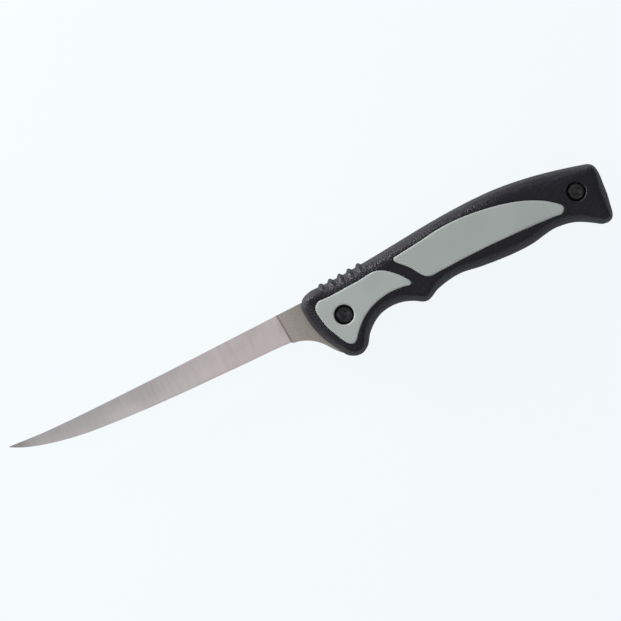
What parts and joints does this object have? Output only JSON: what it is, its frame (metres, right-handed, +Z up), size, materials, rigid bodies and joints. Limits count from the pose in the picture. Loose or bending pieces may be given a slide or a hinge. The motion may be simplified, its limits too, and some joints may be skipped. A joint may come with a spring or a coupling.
{
  "type": "fillet knife",
  "caption": "Fillet knife: slim upswept blade with a full hidden tang between rubber-covered grip halves with pads, thumb ridges and a finger guard.",
  "frame": {"origin": "middle of the knife's box on the surface it lies on, with the knife on its right side", "axes": "+X from the tip to the butt, +Y from the edge side to the spine side, +Z up through the left side of the grip"},
  "size_m": [0.295, 0.0414, 0.0204],
  "materials": {
    "blade_steel": "satin ground stainless steel",
    "pad_polymer": "smooth moulded grey polymer",
    "grip_rubber": "pebbled black soft rubber",
    "black_fastener": "black oxide steel"
  },
  "bodies": {
    "root": {"blade": "blade_steel", "left_core": "pad_polymer", "right_core": "pad_polymer", "left_overmould": "grip_rubber", "right_overmould": "grip_rubber", "handle_screws": "black_fastener", "barrel_nuts": "black_fastener"}
  },
  "joints": []
}
